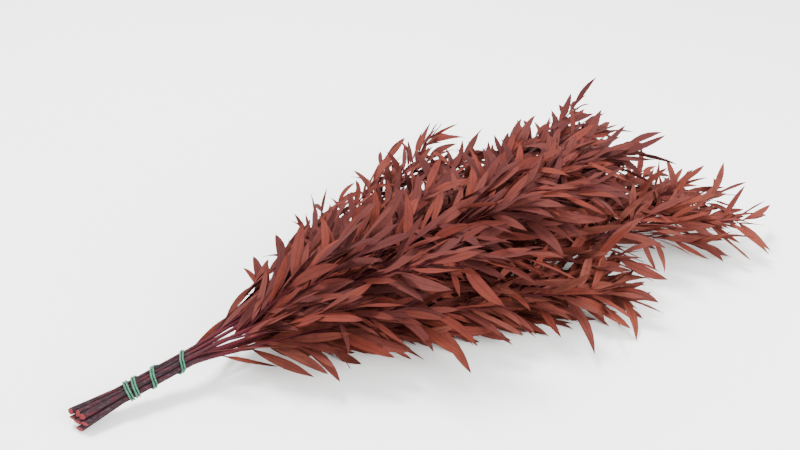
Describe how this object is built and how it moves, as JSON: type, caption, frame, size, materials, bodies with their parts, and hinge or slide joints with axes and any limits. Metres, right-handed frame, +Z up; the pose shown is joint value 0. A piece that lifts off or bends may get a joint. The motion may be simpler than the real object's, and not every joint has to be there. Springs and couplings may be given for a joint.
{
  "type": "dried eucalyptus bunch",
  "caption": "Lying bunch of dried willow eucalyptus: bare cut stems tied with a wound elastic band, fanning out into side shoots with long narrow russet leaves.",
  "frame": {"origin": "on the surface it lies on, under the middle of the whole bunch's box", "axes": "+X from the cut ends along the bunch towards the leafy tips, +Y to the bunch's left, +Z up"},
  "size_m": [0.6286, 0.2764, 0.1204],
  "materials": {
    "foliage": "matt dyed leaf, rust red",
    "bark": "dark purple-brown bark with grey flecks",
    "cut_wood": "rough cut end, reddish",
    "elastic": "satin pale green"
  },
  "bodies": {
    "root": {"branch_1": "foliage", "branch_2": "foliage", "branch_3": "foliage", "branch_4": "foliage", "branch_5": "foliage", "branch_6": "foliage", "branch_7": "foliage", "branch_8": "foliage", "branch_9": "foliage", "branch_10": "foliage", "elastic_band": "elastic"}
  },
  "joints": []
}
